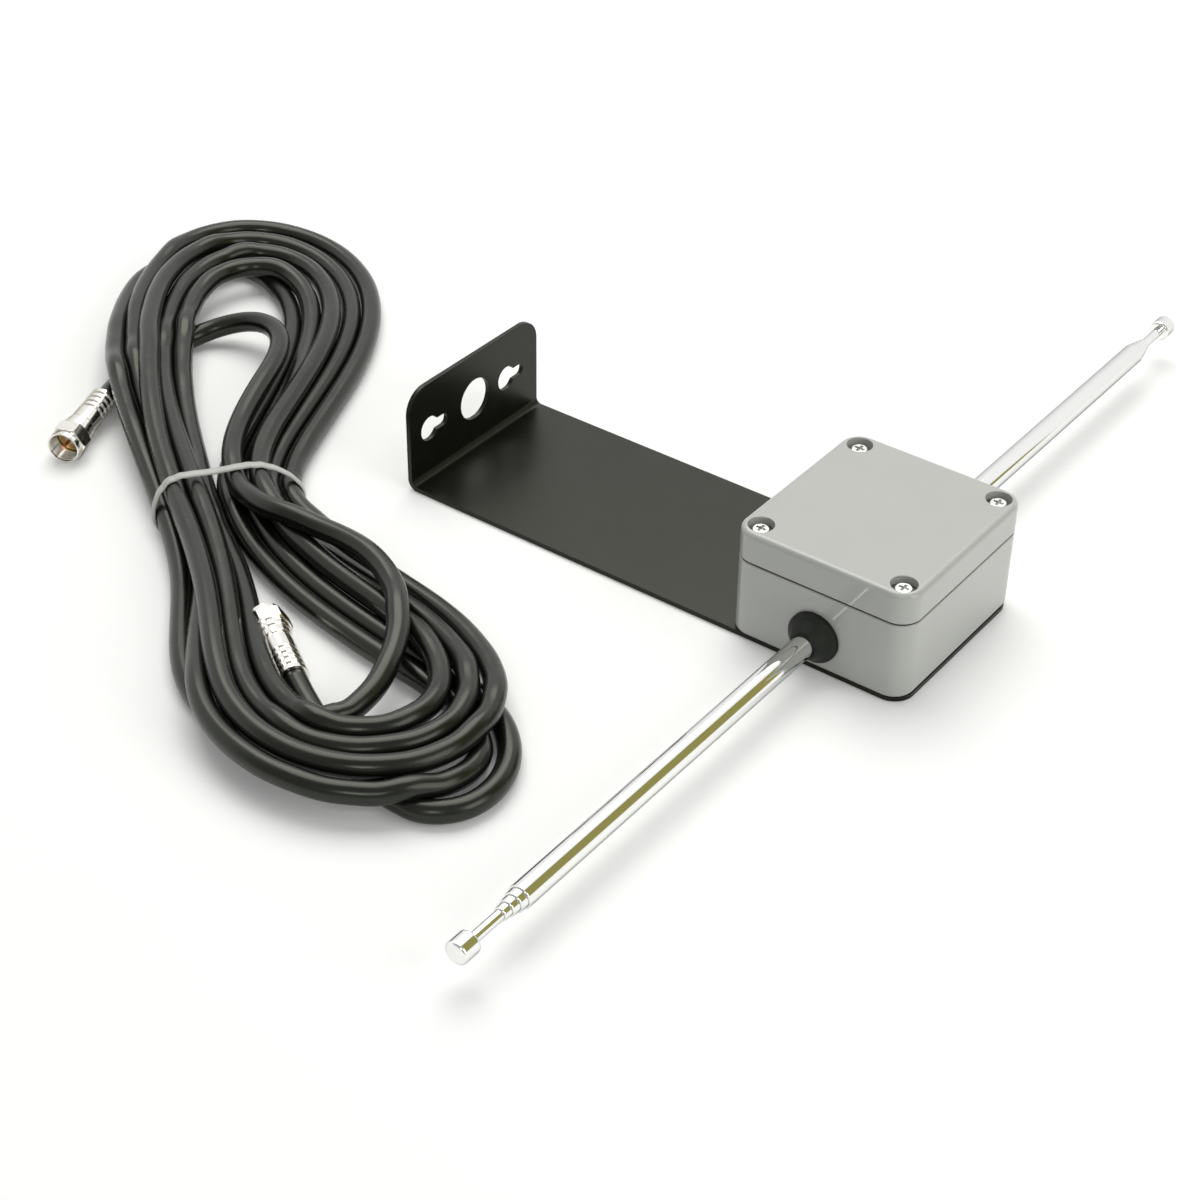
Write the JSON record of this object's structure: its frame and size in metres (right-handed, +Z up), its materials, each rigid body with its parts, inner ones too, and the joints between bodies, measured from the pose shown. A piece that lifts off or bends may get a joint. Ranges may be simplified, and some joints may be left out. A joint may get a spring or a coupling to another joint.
{
  "type": "fm indoor antenna",
  "caption": "Telescopic dipole antenna on a small die-cast box with an angled wall bracket, and a coaxial lead with screw-on plugs lying beside it in a tied hank.",
  "frame": {"origin": "middle of the antenna's footprint without its lead, on the surface that it stands on", "axes": "+X along the bracket from its wall leg to the box, +Y along the far rod, +Z up out of the box's lid"},
  "size_m": [0.3429, 0.379, 0.0365],
  "materials": {
    "black_steel": "satin black powder coat",
    "grey_paint": "light grey semi-gloss paint on die-cast aluminium",
    "seal_rubber": "matte",
    "zinc_steel": "bright zinc plate",
    "rod_chrome": "polished chrome plate",
    "grommet_rubber": "matte moulded rubber",
    "insulator_plastic": "moulded",
    "circuit_board": "solder mask",
    "ferrite": "sintered",
    "copper_wire": "bare copper",
    "brass": "turned",
    "nickel": "bright nickel plate",
    "white_plastic": "moulded",
    "cable_jacket": "satin black PVC",
    "tie_plastic": "satin grey plastic over wire"
  },
  "bodies": {
    "root": {"wall_bracket": "black_steel", "box_base": "grey_paint", "box_lid": "grey_paint", "lid_gasket": "seal_rubber", "lid_screws": "zinc_steel", "bracket_screws": "zinc_steel", "bracket_nuts": "zinc_steel", "centre_block": "insulator_plastic", "terminal_screws": "zinc_steel", "balun_board": "circuit_board", "balun_core": "ferrite", "balun_winding": "copper_wire", "jack_body": "nickel", "jack_insulator": "white_plastic", "jack_contact": "brass", "jack_washer": "nickel", "jack_nut": "nickel", "cable_hank": "cable_jacket", "cable_tail_a": "cable_jacket", "cable_tail_b": "cable_jacket", "cable_tie": "tie_plastic", "near_grommet": "grommet_rubber", "near_rod_end_plug": "brass", "near_rod_tube_1": "rod_chrome", "far_grommet": "grommet_rubber", "far_rod_end_plug": "brass", "far_rod_tube_1": "rod_chrome", "plug_sleeve_a": "nickel", "plug_post_a": "brass", "plug_insulator_a": "white_plastic", "plug_pin_a": "copper_wire", "plug_sleeve_b": "nickel", "plug_post_b": "brass", "plug_insulator_b": "white_plastic", "plug_pin_b": "copper_wire"},
    "near_stage_2": {"near_rod_tube_2": "rod_chrome"},
    "near_stage_3": {"near_rod_tube_3": "rod_chrome"},
    "near_stage_4": {"near_rod_tube_4": "rod_chrome"},
    "near_tip": {"near_rod_tip": "rod_chrome", "near_rod_cap": "rod_chrome"},
    "far_stage_2": {"far_rod_tube_2": "rod_chrome"},
    "far_stage_3": {"far_rod_tube_3": "rod_chrome"},
    "far_stage_4": {"far_rod_tube_4": "rod_chrome"},
    "far_tip": {"far_rod_tip": "rod_chrome", "far_rod_cap": "rod_chrome"},
    "plug_nut_a": {"plug_nut_a": "nickel"},
    "plug_nut_b": {"plug_nut_b": "nickel"}
  },
  "joints": [
    {"name": "near_stage_2_slide", "type": "slide", "parent": "root", "child": "near_stage_2", "axis": [0, -1, 0], "range_m": [0, 0.136]},
    {"name": "near_stage_3_slide", "type": "slide", "parent": "near_stage_2", "child": "near_stage_3", "axis": [0, -1, 0], "range_m": [0, 0.136]},
    {"name": "near_stage_4_slide", "type": "slide", "parent": "near_stage_3", "child": "near_stage_4", "axis": [0, -1, 0], "range_m": [0, 0.136]},
    {"name": "near_tip_slide", "type": "slide", "parent": "near_stage_4", "child": "near_tip", "axis": [0, -1, 0], "range_m": [0, 0.136]},
    {"name": "far_stage_2_slide", "type": "slide", "parent": "root", "child": "far_stage_2", "axis": [0, 1, 0], "range_m": [0, 0.136]},
    {"name": "far_stage_3_slide", "type": "slide", "parent": "far_stage_2", "child": "far_stage_3", "axis": [0, 1, 0], "range_m": [0, 0.136]},
    {"name": "far_stage_4_slide", "type": "slide", "parent": "far_stage_3", "child": "far_stage_4", "axis": [0, 1, 0], "range_m": [0, 0.136]},
    {"name": "far_tip_slide", "type": "slide", "parent": "far_stage_4", "child": "far_tip", "axis": [0, 1, 0], "range_m": [0, 0.136]},
    {"name": "plug_nut_a_spin", "type": "hinge", "parent": "root", "child": "plug_nut_a", "pos_m": [-0.19468, -0.05917, 0.0056], "axis": [0.3723, -0.9281, 0], "continuous": true},
    {"name": "plug_nut_b_spin", "type": "hinge", "parent": "root", "child": "plug_nut_b", "pos_m": [-0.04687, -0.12927, 0.0056], "axis": [-0.8536, 0.521, 0], "continuous": true}
  ]
}
